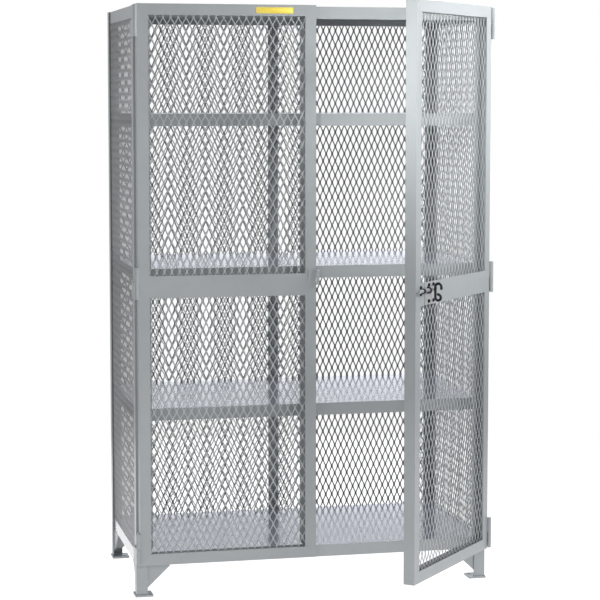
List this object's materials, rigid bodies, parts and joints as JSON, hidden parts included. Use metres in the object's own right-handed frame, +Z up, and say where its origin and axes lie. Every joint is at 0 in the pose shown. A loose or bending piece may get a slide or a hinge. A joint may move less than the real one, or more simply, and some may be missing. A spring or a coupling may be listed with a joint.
{
  "type": "steel mesh storage cabinet",
  "caption": "Tall welded steel storage cabinet on legs, with expanded-metal walls and doors, flat shelves and a slide-bolt latch; one door stands open.",
  "frame": {"origin": "on the floor under the middle of the whole footprint, with the right door open as stored", "axes": "+Z up, +Y towards the cabinet's back, so the doors face -Y; +X to the right for someone who faces the doors"},
  "size_m": [1.2386, 1.1478, 1.981],
  "materials": {
    "frame_paint": "satin grey powder coat",
    "door_paint": "satin grey powder coat",
    "shelf_paint": "satin grey powder coat",
    "mesh_paint": "satin grey powder coat",
    "latch_zinc": "zinc plated",
    "latch_black": "black, worn"
  },
  "bodies": {
    "cabinet": {"post_front_left": "frame_paint", "post_front_right": "frame_paint", "post_back_left": "frame_paint", "post_back_right": "frame_paint", "foot_pad_front_left": "frame_paint", "foot_pad_front_right": "frame_paint", "foot_pad_back_left": "frame_paint", "foot_pad_back_right": "frame_paint", "gusset_front_left_end": "frame_paint", "gusset_front_left_side": "frame_paint", "gusset_front_right_end": "frame_paint", "gusset_front_right_side": "frame_paint", "gusset_back_left_end": "frame_paint", "gusset_back_left_side": "frame_paint", "gusset_back_right_end": "frame_paint", "gusset_back_right_side": "frame_paint", "back_centre_bar": "frame_paint", "top_pan": "frame_paint", "bottom_shelf": "shelf_paint", "lower_shelf": "shelf_paint", "middle_shelf": "shelf_paint", "upper_shelf": "shelf_paint", "side_mesh_left": "mesh_paint", "side_mesh_right": "mesh_paint", "back_mesh_left": "mesh_paint", "back_mesh_right": "mesh_paint", "left_post_hinge_bottom": "frame_paint", "left_post_hinge_middle": "frame_paint", "left_post_hinge_top": "frame_paint", "right_post_hinge_bottom": "frame_paint", "right_post_hinge_middle": "frame_paint", "right_post_hinge_top": "frame_paint"},
    "left_door": {"left_door_hinge_stile": "door_paint", "left_door_lock_stile": "door_paint", "left_door_top_rail": "door_paint", "left_door_bottom_rail": "door_paint", "left_door_lock_plate": "door_paint", "left_door_mesh": "mesh_paint", "left_door_hinge_bottom": "door_paint", "left_door_hinge_middle": "door_paint", "left_door_hinge_top": "door_paint", "left_door_keeper": "frame_paint"},
    "right_door": {"right_door_hinge_stile": "door_paint", "right_door_lock_stile": "door_paint", "right_door_top_rail": "door_paint", "right_door_bottom_rail": "door_paint", "right_door_lock_plate": "door_paint", "right_door_mesh": "mesh_paint", "right_door_hinge_bottom": "door_paint", "right_door_hinge_middle": "door_paint", "right_door_hinge_top": "door_paint", "right_door_latch_plate": "latch_zinc", "right_door_latch_staple": "latch_zinc", "right_door_latch_guide": "latch_zinc"},
    "latch_bolt": {"latch_rod": "latch_zinc", "latch_handle": "latch_black"}
  },
  "joints": [
    {"name": "left_door_hinge", "type": "hinge", "parent": "cabinet", "child": "left_door", "pos_m": [-0.613, -0.10932, 1.05], "axis": [0, 0, -1], "range_deg": [0, 180]},
    {"name": "right_door_hinge", "type": "hinge", "parent": "cabinet", "child": "right_door", "pos_m": [0.613, -0.10932, 1.05], "axis": [0, 0, 1], "range_deg": [-49, 131]},
    {"name": "latch_slide", "type": "slide", "parent": "right_door", "child": "latch_bolt", "axis": [-0.6561, -0.7547, 0], "range_m": [0, 0.0175]}
  ]
}
